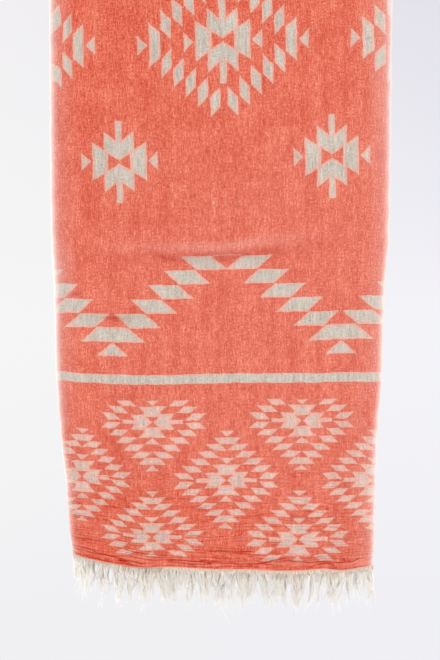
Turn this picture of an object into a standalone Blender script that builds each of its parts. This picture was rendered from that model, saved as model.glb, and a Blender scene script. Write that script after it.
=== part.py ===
"""A woven hammam towel, folded lengthwise into a packet and hung over a round rail at half its length.

Units are metres, +Z is up and the shown face looks towards -Y. The origin is the middle of the line on which
the towel bears on its rail: the underside of the folded panels at the top bend. The rail isn't part of it.

The towel is one sheet. Its two long sides are folded back behind the middle, so a level cut through the hanging
half is a flat loop, open at the back where the two selvedges come near each other. Each woven end has a loose
warp fringe under a narrow plain header.
"""

import math
import random

import bmesh
import bpy
from mathutils import Vector

# The cloth, laid flat
CLOTH_WIDTH = 0.895
CLOTH_LENGTH = 1.842
CLOTH_THICKNESS = 0.0015

# The bend over the rail
RAIL_CLEAR_RADIUS = 0.0140
LAYER_GAP_AT_RAIL = 0.0020

# The hanging packet
LAYER_HALF_GAP = 0.0026
FOLD_FLARE = 0.060
FOLD_OPENS_OVER = 0.160
SPREAD_AT_HEM = 0.010

# The fringe and its header
HEADER_HEIGHT = 0.009
HEADER_PARTING = 0.0004
LOCKS_PER_HEM = 84
LOCK_LENGTH_SHORT = 0.054
LOCK_LENGTH_LONG = 0.097
LOCK_SEGMENTS = 2
LOCK_TIP_SHARE = 0.35
LOCK_SWAY = 0.0022
LOCK_SWAY_STEP = 0.9
LOCK_SWAY_CHANGE = 0.3
FRINGE_SEED = 7

# Mesh density of the sheet, for each half of its width
FACE_COLUMNS = 7
FOLD_COLUMNS = 5
PANEL_COLUMNS = 4
CROWN_ROWS = 8

BEND_RADIUS = RAIL_CLEAR_RADIUS + CLOTH_THICKNESS + LAYER_GAP_AT_RAIL / 2
BEND_HALF_GAP = (CLOTH_THICKNESS + LAYER_GAP_AT_RAIL) / 2
BEND_LENGTH = math.pi * BEND_RADIUS / 2
HALF_LENGTH = CLOTH_LENGTH / 2
HALF_WIDTH = CLOTH_WIDTH / 2
BEND_AXIS_Z = -RAIL_CLEAR_RADIUS

# How far each side fold reaches from the middle, and its radius: the packet narrows and opens towards its hem
REACH_COLUMNS = ("above_hem", "left_reach", "right_reach", "left_radius", "right_radius")
FRONT_REACH = (
    (0.000, 0.2110, 0.2220, 0.0170, 0.0145),
    (0.130, 0.2220, 0.2260, 0.0135, 0.0125),
    (0.280, 0.2320, 0.2320, 0.0110, 0.0105),
    (0.480, 0.2360, 0.2365, 0.0095, 0.0095),
    (0.921, 0.2375, 0.2400, 0.0090, 0.0090),
)
BACK_REACH = (
    (0.000, 0.2190, 0.2150, 0.0155, 0.0155),
    (0.300, 0.2310, 0.2300, 0.0110, 0.0115),
    (0.921, 0.2375, 0.2400, 0.0090, 0.0090),
)

# Rows of the sheet between these heights above a hem, close together where the front bulges
ROW_COLUMNS = ("from_height", "to_height", "rows")
FRONT_ROWS = (
    (0.000, 0.060, 3),
    (0.060, 0.430, 6),
    (0.430, 0.520, 7),
    (0.520, HALF_LENGTH - BEND_LENGTH, 5),
)
BACK_ROWS = ((0.000, HALF_LENGTH - BEND_LENGTH, 9),)

# Long soft waves of the hanging cloth, in metres and in radians for each metre
WAVE_COLUMNS = ("height", "across", "down", "phase")
WAVES = (
    (0.0020, 20.0, 3.1, 0.0),
    (0.0012, 37.0, -4.0, 1.0),
)

# The soft bulge across the front, where an old fold mark lets the cloth sag over itself
BULGE_HEIGHT = 0.475
BULGE_SLANT = 0.10
BULGE_DEPTH = 0.0050
BULGE_MIDDLE_X = -0.010
BULGE_SPAN = 0.100
BULGE_SOFTNESS = 0.014
CREASE_BELOW_BULGE = 0.026
CREASE_DEPTH = 0.0020
CREASE_SOFTNESS = 0.008

# The left corner of the front hem is lifted and turns back
CORNER_LIFT = 0.024
CORNER_LIFT_FROM_X = -0.095
CORNER_LIFT_TO_X = -0.225
CORNER_LIFT_HEIGHT = 0.500
CORNER_TURN_BACK = 0.006

# Each panel behind hangs a little lower than the shown face, towards its selvedge
PANEL_DROP = 0.005
PANEL_DROP_FROM_X = 0.200
PANEL_DROP_TO_X = 0.050

CORAL = (0.80, 0.143, 0.082, 1.0)
NATURAL = (0.70, 0.64, 0.52, 1.0)
COTTON_ROUGHNESS = 0.9


def smooth_step(value, start, end):
    share = min(max((value - start) / (end - start), 0.0), 1.0)
    return share * share * (3 - 2 * share)


def bell(distance, softness):
    return math.exp(-0.5 * (distance / softness) ** 2)


def read_table(table, names, height):
    """The table's values at a height, running straight between its rows and kept level past its ends."""
    rows = [dict(zip(names, row)) for row in table]
    key = names[0]
    height = min(max(height, rows[0][key]), rows[-1][key])
    low, high = next((a, b) for a, b in zip(rows, rows[1:]) if a[key] <= height <= b[key])
    share = (height - low[key]) / (high[key] - low[key])
    return {name: low[name] + (high[name] - low[name]) * share for name in names}


def packet_section(side, place, along):
    """A point of the level cut: x across, n outwards from the packet's middle plane, and its share of the way in.

    side is -1 for the left half and 1 for the right. place runs 0..1 over the shown face, 1..2 round the side fold
    and 2..3 over the panel folded behind. along is the distance from the crown, negative on the front.
    """
    table = FRONT_REACH if along < 0 else BACK_REACH
    here = read_table(table, REACH_COLUMNS, HALF_LENGTH - abs(along))
    opened = smooth_step(abs(along), BEND_LENGTH, BEND_LENGTH + FOLD_OPENS_OVER)
    full_radius = here["left_radius"] if side < 0 else here["right_radius"]
    reach = here["left_reach"] if side < 0 else here["right_reach"]
    radius = BEND_HALF_GAP + (full_radius - BEND_HALF_GAP) * opened
    half_gap = BEND_HALF_GAP + (LAYER_HALF_GAP - BEND_HALF_GAP) * opened
    fold_x = reach - radius
    if place <= 1:
        x, inward = fold_x * place, 0.0
    elif place <= 2:
        turn = math.pi * (place - 1)
        return side * (fold_x + radius * math.sin(turn)), radius * math.cos(turn), place - 1
    else:
        panel = HALF_WIDTH - fold_x - math.pi * radius
        x, inward = fold_x - panel * (place - 2), 1.0
    flare = smooth_step(x, fold_x - FOLD_FLARE, fold_x)
    n = half_gap + (radius - half_gap) * flare
    return side * x, n if inward == 0 else -n, inward


def drape_offsets(x, inward, along):
    """How far the hanging cloth stands out from its plain packet, and how far it is lifted, at a place."""
    above_hem = HALF_LENGTH - abs(along)
    hangs = smooth_step(abs(along), BEND_LENGTH, BEND_LENGTH + FOLD_OPENS_OVER)
    out = SPREAD_AT_HEM * smooth_step(abs(along), BEND_LENGTH, HALF_LENGTH)
    for row in WAVES:
        wave = dict(zip(WAVE_COLUMNS, row))
        out += wave["height"] * hangs * math.sin(wave["across"] * x + wave["down"] * along + wave["phase"])
    lift = 0.0
    if along < 0:
        shown = 1 - inward
        crest = BULGE_HEIGHT + BULGE_SLANT * x
        across = bell(x - BULGE_MIDDLE_X, BULGE_SPAN)
        out += shown * across * BULGE_DEPTH * bell(above_hem - crest, BULGE_SOFTNESS)
        crease = crest - CREASE_BELOW_BULGE
        out -= shown * across * CREASE_DEPTH * bell(above_hem - crease, CREASE_SOFTNESS)
        low = 1 - smooth_step(above_hem, 0.0, CORNER_LIFT_HEIGHT)
        corner = smooth_step(x, CORNER_LIFT_FROM_X, CORNER_LIFT_TO_X)
        lift += CORNER_LIFT * low * corner
        out -= CORNER_TURN_BACK * low * low * corner
    lift -= PANEL_DROP * inward * hangs * smooth_step(abs(x), PANEL_DROP_FROM_X, PANEL_DROP_TO_X)
    return out, lift


def cloth_point(side, place, along):
    """A point of the towel's middle surface in the hung shape."""
    x, n, inward = packet_section(side, place, along)
    front = -1 if along < 0 else 1
    out, lift = drape_offsets(x, inward, along)
    if abs(along) < BEND_LENGTH:
        turn = along / BEND_RADIUS
        radius = BEND_RADIUS + n
        return x, radius * math.sin(turn), BEND_AXIS_Z + radius * math.cos(turn)
    y = front * (BEND_RADIUS + n + out)
    return x, y, BEND_AXIS_Z - (abs(along) - BEND_LENGTH) + lift


def width_places():
    """Side and place of every column, from the left selvedge to the right one."""
    quarter_turn = math.pi / 2
    half = [math.sin(quarter_turn * i / FACE_COLUMNS) for i in range(1, FACE_COLUMNS + 1)]
    half += [1 + i / FOLD_COLUMNS for i in range(1, FOLD_COLUMNS + 1)]
    half += [3 - math.cos(quarter_turn * i / PANEL_COLUMNS) for i in range(1, PANEL_COLUMNS + 1)]
    return [(-1, p) for p in reversed(half)] + [(1, 0.0)] + [(1, p) for p in half]


def hanging_rows(table):
    """Distances from the crown of the rows of one hanging half, from its hem up to the bend."""
    distances = []
    for row in table:
        part = dict(zip(ROW_COLUMNS, row))
        step = (part["to_height"] - part["from_height"]) / part["rows"]
        lowest = HALF_LENGTH - part["from_height"]
        distances += [lowest - step * i for i in range(part["rows"])]
    return distances


def length_places():
    """Distances from the crown of every row, from the front hem (negative) to the back hem."""
    front = [-distance for distance in hanging_rows(FRONT_ROWS)]
    crown = [BEND_LENGTH * (2 * i / CROWN_ROWS - 1) for i in range(CROWN_ROWS + 1)]
    return front + crown + hanging_rows(BACK_ROWS)[::-1]


def shaped_grid(columns, rows, where):
    """An open grid of faces whose vertices stand at where(column, row), and its vertices by column and row."""
    bm = bmesh.new()
    bmesh.ops.create_grid(bm, x_segments=columns, y_segments=rows, size=0.5)
    verts = {}
    for vert in bm.verts:
        place = (round((vert.co.x + 0.5) * columns), round((vert.co.y + 0.5) * rows))
        vert.co = where(*place)
        verts[place] = vert
    return bm, verts


def make_material(name, colour):
    material = bpy.data.materials.new(name)
    material.use_nodes = True
    shader = material.node_tree.nodes["Principled BSDF"]
    shader.inputs["Base Color"].default_value = colour
    shader.inputs["Roughness"].default_value = COTTON_ROUGHNESS
    shader.inputs["Metallic"].default_value = 0.0
    return material


def finish_sheet(bm, name, material, collection):
    """Turns an open surface into one closed sheet of the cloth's thickness."""
    mesh = bpy.data.meshes.new(name)
    bm.to_mesh(mesh)
    bm.free()
    mesh.materials.append(material)
    mesh.shade_smooth()
    sheet = bpy.data.objects.new(name, mesh)
    collection.objects.link(sheet)
    solid = sheet.modifiers.new("thickness", "SOLIDIFY")
    solid.thickness = CLOTH_THICKNESS
    solid.offset = 0.0
    solid.use_even_offset = True
    return sheet


def build_cloth(material, collection):
    """The woven sheet, folded and hung, from hem to hem."""
    columns = width_places()
    rows = length_places()
    bm, _ = shaped_grid(
        len(columns) - 1,
        len(rows) - 1,
        lambda column, row: cloth_point(*columns[column], rows[row]),
    )
    return finish_sheet(bm, "towel_cloth", material, collection)


def hem_stations(front, count):
    """Points spread evenly along the sheet's own hem edge, from selvedge to selvedge."""
    corners = [Vector(cloth_point(*place, front * HALF_LENGTH)) for place in width_places()]
    runs = [(b - a).length for a, b in zip(corners, corners[1:])]
    stations = []
    for i in range(count):
        left = sum(runs) * i / (count - 1)
        run = 0
        while run < len(runs) - 1 and left > runs[run]:
            left -= runs[run]
            run += 1
        stations.append(corners[run].lerp(corners[run + 1], left / runs[run]))
    return stations


def build_fringe(name, front, material, collection):
    """A plain header strip under one hem, with the loose warp ends as flat locks that hang from it."""
    rng = random.Random(FRINGE_SEED + front)
    stations = hem_stations(front, 2 * LOCKS_PER_HEM)
    drops = (HEADER_PARTING, HEADER_PARTING + HEADER_HEIGHT)
    bm, verts = shaped_grid(
        len(stations) - 1,
        1,
        lambda column, row: stations[column] - Vector((0, 0, drops[row])),
    )
    for lock in range(LOCKS_PER_HEM):
        root = [verts[2 * lock, 1], verts[2 * lock + 1, 1]]
        edge = bm.edges.get(root)
        length = rng.uniform(LOCK_LENGTH_SHORT, LOCK_LENGTH_LONG)
        change = rng.uniform(-LOCK_SWAY_CHANGE, LOCK_SWAY_CHANGE)
        sway = LOCK_SWAY * math.sin(LOCK_SWAY_STEP * lock + change)
        middle = (root[0].co + root[1].co) / 2
        half = (root[1].co - root[0].co) / 2
        for step in range(1, LOCK_SEGMENTS + 1):
            share = step / LOCK_SEGMENTS
            grown = bmesh.ops.extrude_edge_only(bm, edges=[edge])["geom"]
            ends = [item for item in grown if isinstance(item, bmesh.types.BMVert)]
            edge = next(item for item in grown if isinstance(item, bmesh.types.BMEdge))
            narrowing = 1 - (1 - LOCK_TIP_SHARE) * share
            centre = (ends[0].co + ends[1].co) / 2
            for end in ends:
                way = 1 if (end.co - centre).dot(half) > 0 else -1
                end.co = middle + half * narrowing * way
                end.co.x += sway * share * share
                end.co.z -= length * share
    return finish_sheet(bm, name, material, collection)


def main():
    for old in list(bpy.data.objects):
        bpy.data.objects.remove(old)
    collection = bpy.data.collections.new("Hammam towel")
    bpy.context.scene.collection.children.link(collection)
    coral_cotton = make_material("Coral cotton", CORAL)
    natural_cotton = make_material("Natural cotton", NATURAL)
    build_cloth(coral_cotton, collection)
    build_fringe("front_fringe", -1, natural_cotton, collection)
    build_fringe("back_fringe", 1, natural_cotton, collection)


main()
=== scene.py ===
import math
import random
from functools import partial, reduce

import bmesh
import bpy
import numpy as np
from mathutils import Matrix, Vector, noise


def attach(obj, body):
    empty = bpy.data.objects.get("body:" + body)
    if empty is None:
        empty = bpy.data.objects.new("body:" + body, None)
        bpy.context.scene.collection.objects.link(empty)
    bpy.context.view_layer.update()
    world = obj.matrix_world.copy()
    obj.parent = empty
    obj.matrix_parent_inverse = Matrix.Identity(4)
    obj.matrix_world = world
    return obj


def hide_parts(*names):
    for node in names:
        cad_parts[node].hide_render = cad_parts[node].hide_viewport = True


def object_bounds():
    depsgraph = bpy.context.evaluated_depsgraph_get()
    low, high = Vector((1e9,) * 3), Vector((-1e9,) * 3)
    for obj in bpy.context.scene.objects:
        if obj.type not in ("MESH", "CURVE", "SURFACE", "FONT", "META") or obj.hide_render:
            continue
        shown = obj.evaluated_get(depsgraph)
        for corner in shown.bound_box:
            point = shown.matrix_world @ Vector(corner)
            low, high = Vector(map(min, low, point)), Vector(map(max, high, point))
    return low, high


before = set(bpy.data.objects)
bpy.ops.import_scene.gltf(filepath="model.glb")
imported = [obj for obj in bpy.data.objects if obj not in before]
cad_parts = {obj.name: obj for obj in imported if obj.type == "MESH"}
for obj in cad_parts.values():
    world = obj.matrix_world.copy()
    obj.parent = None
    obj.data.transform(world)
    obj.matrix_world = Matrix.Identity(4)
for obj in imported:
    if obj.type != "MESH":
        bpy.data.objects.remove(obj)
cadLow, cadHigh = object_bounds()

# the towel's own sizes, in metres, as its solids have them
towel = {
    "width": 0.895,           # the whole cloth laid flat, selvedge to selvedge
    "length": 1.842,          # coral hem to coral hem
    "thickness": 0.0012,
    "solidThickness": 0.0015,
    "clearRadius": 0.0140,    # room for the rail under the folded panels
    "layerGap": 0.0020,
    "halfGap": 0.0026,        # from the middle of the hanging packet to each of its layers
    "flare": 0.060,
    "opensOver": 0.160,
    "spreadAtHem": 0.010,
    "foldWobble": 0.0013,     # how unevenly the side folds reach out, and over what length
    "wobbleLong": 0.022,
}
halfWidth = towel["width"] / 2
halfLength = towel["length"] / 2
bendRadius = towel["clearRadius"] + towel["solidThickness"] + towel["layerGap"] / 2
bendHalfGap = (towel["solidThickness"] + towel["layerGap"]) / 2
bendLength = math.pi * bendRadius / 2
bendAxisZ = -towel["clearRadius"]

# reach of each side fold from the middle, and its radius, at heights above the hem
frontFolds = {
    "at":          [0.000, 0.060, 0.130, 0.200, 0.280, 0.400, 0.480, 0.700, 0.921],
    "leftReach":   [0.2124, 0.2173, 0.2222, 0.2282, 0.2329, 0.2345, 0.2373, 0.2373, 0.2357],
    "rightReach":  [0.2207, 0.2220, 0.2230, 0.2250, 0.2300, 0.2323, 0.2380, 0.2388, 0.2388],
    "leftRadius":  [0.0170, 0.0160, 0.0150, 0.0145, 0.0140, 0.0137, 0.0135, 0.0132, 0.0130],
    "rightRadius": [0.0155, 0.0153, 0.0150, 0.0148, 0.0145, 0.0143, 0.0142, 0.0140, 0.0140],
}
backFolds = {
    "at":          [0.000, 0.300, 0.921],
    "leftReach":   [0.2050, 0.2265, 0.2340],
    "rightReach":  [0.2110, 0.2250, 0.2375],
    "leftRadius":  [0.0155, 0.0110, 0.0090],
    "rightRadius": [0.0155, 0.0115, 0.0090],
}

# the long soft waves of the hanging cloth, the sag over an old fold mark with painted shade in the crease
# under it, and the lifted corner
drape = {
    "waves": [(0.0020, 20.0, 3.1, 0.0), (0.0012, 37.0, -4.0, 1.0)],   # height, across, down, phase
    "bulgeHeight": 0.463, "bulgeSlant": 0.13, "bulgeDepth": 0.0068, "bulgeSpan": 0.080, "bulgeSoft": 0.0105,
    "creaseBelow": 0.012, "creaseDepth": 0.0005, "creaseSoft": 0.0060, "creaseDark": 0.36,
    "cornerLift": 0.024, "cornerFrom": -0.095, "cornerTo": -0.225,
    "cornerHeight": 0.500, "cornerTurn": 0.006, "drawnShare": 0.55, "drawnHeight": 0.110,
    "hemHeight": 0.070,
    "hemDrawn": [(-0.165, -0.0022, 0.020), (-0.076, 0.0050, 0.030), (0.095, -0.0016, 0.030),
                 (0.150, 0.0015, 0.009), (0.214, 0.0085, 0.020)],   # across, rise, wide
    "panelDrop": 0.005, "panelDropFrom": 0.200, "panelDropTo": 0.050,
}
# thin creases along the hem with the cloth puffed up between them, and painted shade in the creases
hemPucker = {"from": 0.012, "to": 0.050, "high": 0.0019, "most": 0.45, "dark": 0.75, "darkWide": 0.05,
             "wide": 0.050, "tall": 0.0085, "finer": 0.35, "finerWide": 0.014, "finerTall": 0.0045}
# the small unevenness that a washed double weave always has: its height everywhere, what the border and the
# hem add, its length across and along, and a place in the noise
smallPuckers = [(0.00050, 0.0, 0.0, 0.034, 0.026, 3.0), (0.00025, 0.00035, 0.0, 0.0150, 0.0100, 9.0),
                (0.0, 0.0, 0.0008, 0.032, 0.0085, 17.0)]
puckerZones = {"border": (0.31, 0.24), "hem": (0.050, 0.010)}

# creases of the shown face: their two ends across and above the hem, how far the middle bows, the trough's
# depth and half width, the lip of cloth that stands over it, and how much painted shade darkens the trough
creases = [
    (-0.078, 0.452, 0.062, 0.451, 0.005, 0.0003, 0.0035, 0.0005, 0.45),
    (-0.103, 0.463, -0.052, 0.447, -0.003, 0.0003, 0.0032, 0.0005, 0.6),
    (-0.196, 0.372, -0.108, 0.366, -0.003, 0.0008, 0.0026, 0.0009, 0.6),
    (-0.232, 0.402, -0.19, 0.398, 0.002, 0.0008, 0.0026, 0.0008, 0.5),
    (-0.23, 0.415, -0.196, 0.42, 0.001, 0.0008, 0.0024, 0.0006, 0.35),
    (-0.206, 0.64, -0.204, 0.83, 0.003, 0.001, 0.003, 0.001, 0.15),
    (0.232, 0.64, 0.231, 0.81, 0.002, 0.0012, 0.003, 0.001, 0.15),
    (0.1, 0.78, 0.098, 0.84, 0.001, 0.0006, 0.0025, 0.0005, 0.15),
    (-0.205, 0.018, -0.095, 0.0065, -0.001, 0.0006, 0.001, 0.0014, 1.2),
    (-0.15, 0.026, -0.062, 0.0165, 0.001, 0.0005, 0.001, 0.0012, 1.2),
    (-0.11, 0.012, 0.048, 0.0085, 0.001, 0.0006, 0.0011, 0.0015, 1.2),
    (-0.03, 0.027, 0.056, 0.0265, 0.001, 0.0005, 0.001, 0.0013, 1.2),
    (0.036, 0.007, 0.102, 0.0215, -0.001, 0.0006, 0.0011, 0.0015, 1.2),
    (0.088, 0.017, 0.168, 0.012, -0.002, 0.0008, 0.0013, 0.0016, 1.2),
    (-0.203, 0.0038, -0.118, 0.0032, 0.0, 0.0004, 0.001, 0.001, 1.1),
    (0.16, 0.011, 0.206, 0.016, -0.001, 0.0005, 0.001, 0.0012, 1.2),
]
# how far a crease strays from its line and over what length, over what length it fades, and its lip's place
# and width, in half widths of the trough
creaseLook = {"strays": 0.0016, "straysOver": 0.012, "fadesOver": 0.020, "lipAside": 1.9, "lipWide": 1.4}

# how the weave lies in the hanging cloth, by height above the front hem: how far its middle stands aside,
# its stretch across, its tilt, the bow of its weft and its slip up or down
askew = {
    "at": [0.0, 0.04, 0.11, 0.18, 0.25, 0.32, 0.39, 0.46,
           0.55, 0.62, 0.69, 0.76, 0.921, 1.4, 1.842],
    "shift": [0.0068, 0.0072, 0.0085, 0.0101, 0.0104, 0.0101, 0.0095, 0.0095,
              0.0087, 0.0073, 0.0051, 0.0038, -0.001, -0.006, -0.008],
    "spread": [0.0125, 0.007, -0.0005, -0.0065, -0.0065, -0.002, 0.0005, -0.0015,
               -0.003, -0.0025, -0.005, -0.007, -0.006, 0.0, 0.0],
    "turn": [-0.0185, -0.0092, 0.0016, 0.01, 0.0136, 0.0149, 0.0171, 0.0197,
             0.0256, 0.0298, 0.0318, 0.033, 0.034, 0.015, 0.0],
    "bow": [0.005, 0.022, 0.033, 0.037, 0.033, 0.007, -0.01, -0.007,
            0.017, 0.06, 0.11, 0.158, 0.15, 0.0, 0.0],
    "rise": [-0.0019, -0.0012, -0.0001, 0.0004, 0.0002, -0.0007, -0.0009, -0.0005,
             -0.0001, 0.0005, 0.0008, 0.0009, 0.0006, 0.0, 0.0],
}

# places where the weave is drawn aside, mostly round the side folds: across, above the hem, how far aside
# and up, and how far across and up the pull is felt
pulls = [
    (-0.198, 0.13, -0.0048, -0.0022, 0.03, 0.09),
    (-0.202, 0.37, -0.002, -0.0018, 0.025, 0.07),
    (-0.204, 0.57, -0.0016, -0.0035, 0.025, 0.06),
    (-0.2, 0.77, -0.0042, -0.0036, 0.032, 0.08),
    (0.204, 0.04, 0.0015, -0.004, 0.028, 0.05),
    (0.206, 0.16, 0.0035, -0.004, 0.028, 0.09),
    (0.206, 0.37, 0.0035, -0.0018, 0.028, 0.07),
    (0.205, 0.57, 0.0015, -0.0018, 0.028, 0.06),
    (0.2, 0.76, 0.0037, -0.0028, 0.03, 0.08),
    (-0.225, 0.425, -0.008, -0.0055, 0.016, 0.03),
    (-0.228, 0.29, 0.0, -0.0058, 0.016, 0.035),
    (-0.208, 0.19, 0.0, -0.0028, 0.02, 0.04),
    (-0.19, 0.075, -0.0022, 0.0025, 0.02, 0.03),
    (-0.196, 0.2, -0.0036, 0.0, 0.022, 0.028),
    (-0.217, 0.128, -0.011, 0.0, 0.008, 0.05),
    (-0.228, 0.7, -0.0045, -0.0075, 0.012, 0.025),
    (-0.228, 0.776, -0.006, 0.0, 0.012, 0.025),
    (-0.085, 0.73, 0.0, 0.0032, 0.03, 0.045),
    (-0.09, 0.03, 0.0, -0.002, 0.035, 0.03),
]


def smoothStep(value, start, end):
    share = min(max((value - start) / (end - start), 0.0), 1.0)
    return share * share * (3 - 2 * share)


def bell(distance, soft):
    return math.exp(-0.5 * (distance / soft) ** 2)


def wander(*place):
    return noise.noise(Vector(place))


def smoothRead(table, name, at):   # a smooth curve through one column of a table
    rows = table["at"]
    values = table[name]
    at = min(max(at, rows[0]), rows[-1])
    low = max(i for i in range(len(rows) - 1) if rows[i] <= at)
    step = rows[low + 1] - rows[low]
    slopes = []
    for i in (low, low + 1):
        before, after = max(i - 1, 0), min(i + 1, len(rows) - 1)
        slopes.append((values[after] - values[before]) / (rows[after] - rows[before]) * step)
    t = (at - rows[low]) / step
    rise = t * t * (3 - 2 * t)
    bend = slopes[0] * t * (1 - t) ** 2 - slopes[1] * t * t * (1 - t)
    return values[low] + (values[low + 1] - values[low]) * rise + bend


def foldAt(side, along):
    # where the side fold begins, its radius, the width of the panel behind it and the layers' half gap
    table = frontFolds if along < 0 else backFolds
    above = halfLength - abs(along)
    name = "left" if side < 0 else "right"
    opened = smoothStep(abs(along), bendLength, bendLength + towel["opensOver"])
    radius = bendHalfGap + (smoothRead(table, name + "Radius", above) - bendHalfGap) * opened
    foldX = smoothRead(table, name + "Reach", above) - radius
    foldX += opened * towel["foldWobble"] * wander(above / towel["wobbleLong"], side, 7.0)
    panel = halfWidth - foldX - math.pi * radius
    halfGap = bendHalfGap + (towel["halfGap"] - bendHalfGap) * opened
    return foldX, radius, panel, halfGap


# painted light and shade in the cloth's colour, given as shares of a pale colour
paintedLight = {
    # painted highlight along the side folds' outer lines: how strong and how far in
    "left": [(0.46, 0.0044), (0.54, 0.0132), (0.10, 0.044)],
    "right": [(0.50, 0.0036), (0.44, 0.0118), (0.115, 0.041)],
    "leftHemLess": 0.55, "leftHemFrom": 0.13, "leftHemTo": 0.03,
    # painted light and shade beside the folds, paler and deeper places: side, height, how high, how strong
    # and how far in
    "patches": [(-1, 0.425, 0.030, 0.16, 0.040), (-1, 0.185, 0.022, -0.10, 0.040),
                (1, 0.232, 0.032, -0.10, 0.036), (1, 0.205, 0.026, 0.17, 0.014),
                (-1, 0.210, 0.030, -0.12, 0.010), (-1, 0.780, 0.100, 0.06, 0.050),
                (1, 0.720, 0.100, 0.07, 0.050)],
    # painted sheen over the whole cloth, more low down, and more to the right
    "wash": 0.036, "washFrom": 0.850, "washTo": 0.450, "washEnds": (0.03, 0.20), "washAside": 0.022,
    # and a painted highlight along the crest of the sag over the old fold mark
    "crest": 0.12, "crestAbove": 0.004, "crestSoft": 0.0055,
}


def section(side, place, along):
    # a point of the level cut: across, outwards, its share of the way in, and its flat distance from the
    # middle. place runs 0..1 over the shown face, 1..2 round the side fold and 2..3 over the panel behind
    foldX, radius, panel, halfGap = foldAt(side, along)
    if 1 < place <= 2:
        turn = math.pi * (place - 1)
        x = foldX + radius * math.sin(turn)
        return side * x, radius * math.cos(turn), place - 1, side * (foldX + radius * turn)
    if place <= 1:
        x, inward, flat = foldX * place, 0.0, foldX * place
    else:
        x, inward = foldX - panel * (place - 2), 1.0
        flat = foldX + math.pi * radius + panel * (place - 2)
    out = halfGap + (radius - halfGap) * smoothStep(x, foldX - towel["flare"], foldX)
    return side * x, -out if inward else out, inward, side * flat


def crestAt(x):   # how high above the hem the sag over the old fold mark stands
    return drape["bulgeHeight"] + drape["bulgeSlant"] * max(x, 0)


def paintedLightAt(side, place, along):   # how much painted light a spot gets, most as a painted highlight along the outer line of the side folds
    foldX, radius, _, _ = foldAt(side, along)
    if place <= 1:
        reach = foldX + radius - foldX * place
    else:
        reach = radius * (1 - math.sin(math.pi * min(place - 1, 1)))
        reach += radius * max(place - 1.5, 0) * 3
    paintedShare = sum(most * smoothStep(reach, wide, 0.0) for most, wide in paintedLight["right" if side > 0 else "left"])
    above = halfLength - abs(along)
    for patchSide, at, soft, most, wide in paintedLight["patches"]:
        if side == patchSide:
            paintedShare += most * bell(above - at, soft) * smoothStep(reach, wide, 0.0)
    if side < 0:
        paintedShare *= 1 - paintedLight["leftHemLess"] * smoothStep(above, paintedLight["leftHemFrom"], paintedLight["leftHemTo"])
    # painted sheen: paler low down and towards the right
    lowness = smoothStep(above, paintedLight["washFrom"], paintedLight["washTo"]) * smoothStep(above, *paintedLight["washEnds"])
    paintedShare += paintedLight["wash"] * lowness + paintedLight["washAside"] * side * min(place, 1) * (1 - 0.5 * lowness)
    # painted highlight on the crest of the sag
    if along < 0 and place <= 1:
        x = side * foldX * place
        toCrest = above - crestAt(x) - paintedLight["crestAbove"]
        paintedShare += paintedLight["crest"] * bell(x, drape["bulgeSpan"]) * bell(toCrest, paintedLight["crestSoft"])
    return paintedShare


def placeOf(flat, along):   # the side and place of a flat distance from the middle
    side = -1 if flat < 0 else 1
    foldX, radius, panel, _ = foldAt(side, along)
    far = abs(flat)
    if far <= foldX:
        return side, far / foldX
    if far <= foldX + math.pi * radius:
        return side, 1 + (far - foldX) / (math.pi * radius)
    return side, 2 + (far - foldX - math.pi * radius) / panel


def creaseAt(x, above):   # how far out the creases push a spot of the shown face, and how much painted shade its crease gives it
    near = smoothStep(above, hemPucker["to"], hemPucker["from"])
    fold = wander(x / hemPucker["wide"], above / hemPucker["tall"], 21.0)
    finer = wander(x / hemPucker["finerWide"], above / hemPucker["finerTall"], 4.0)
    fold = abs(fold + hemPucker["finer"] * finer)
    out = near * hemPucker["high"] * min(fold, hemPucker["most"])
    shade = near * hemPucker["dark"] * max(1 - fold / hemPucker["darkWide"], 0.0)
    for number, (x0, height0, x1, height1, bow, depth, wide, lip, dark) in enumerate(creases):
        dx, dh = x1 - x0, height1 - height0
        long = math.hypot(dx, dh)
        share = ((x - x0) * dx + (above - height0) * dh) / (long * long)
        if not -0.05 < share < 1.05:
            continue
        across = ((above - height0) * dx - (x - x0) * dh) / long - bow * 4 * share * (1 - share)
        across += creaseLook["strays"] * wander(share * long / creaseLook["straysOver"], number, 5.0)
        if abs(across) > 6 * wide:
            continue
        fade = smoothStep(share, -0.05, 0.25) * smoothStep(share, 1.05, 0.75)
        fade *= min(max(0.9 + 1.2 * wander(share * long / creaseLook["fadesOver"], number, 8.0), 0.15), 1.2)
        trough = fade * math.exp(-((across / wide) ** 2))
        stands = fade * math.exp(-(((across / wide - creaseLook["lipAside"]) / creaseLook["lipWide"]) ** 2))
        out += lip * stands - depth * trough
        shade = max(shade, trough * dark)
    return out, shade


def pucker(flat, along):   # how far out the small unevenness stands
    above = halfLength - abs(along)
    border = smoothStep(above, *puckerZones["border"])
    hem = smoothStep(above, *puckerZones["hem"])
    out = 0.0
    for always, inBorder, atHem, wide, long, seed in smallPuckers:
        out += (always + inBorder * border + atHem * hem) * wander(flat / wide, along / long, seed)
    return out


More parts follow.
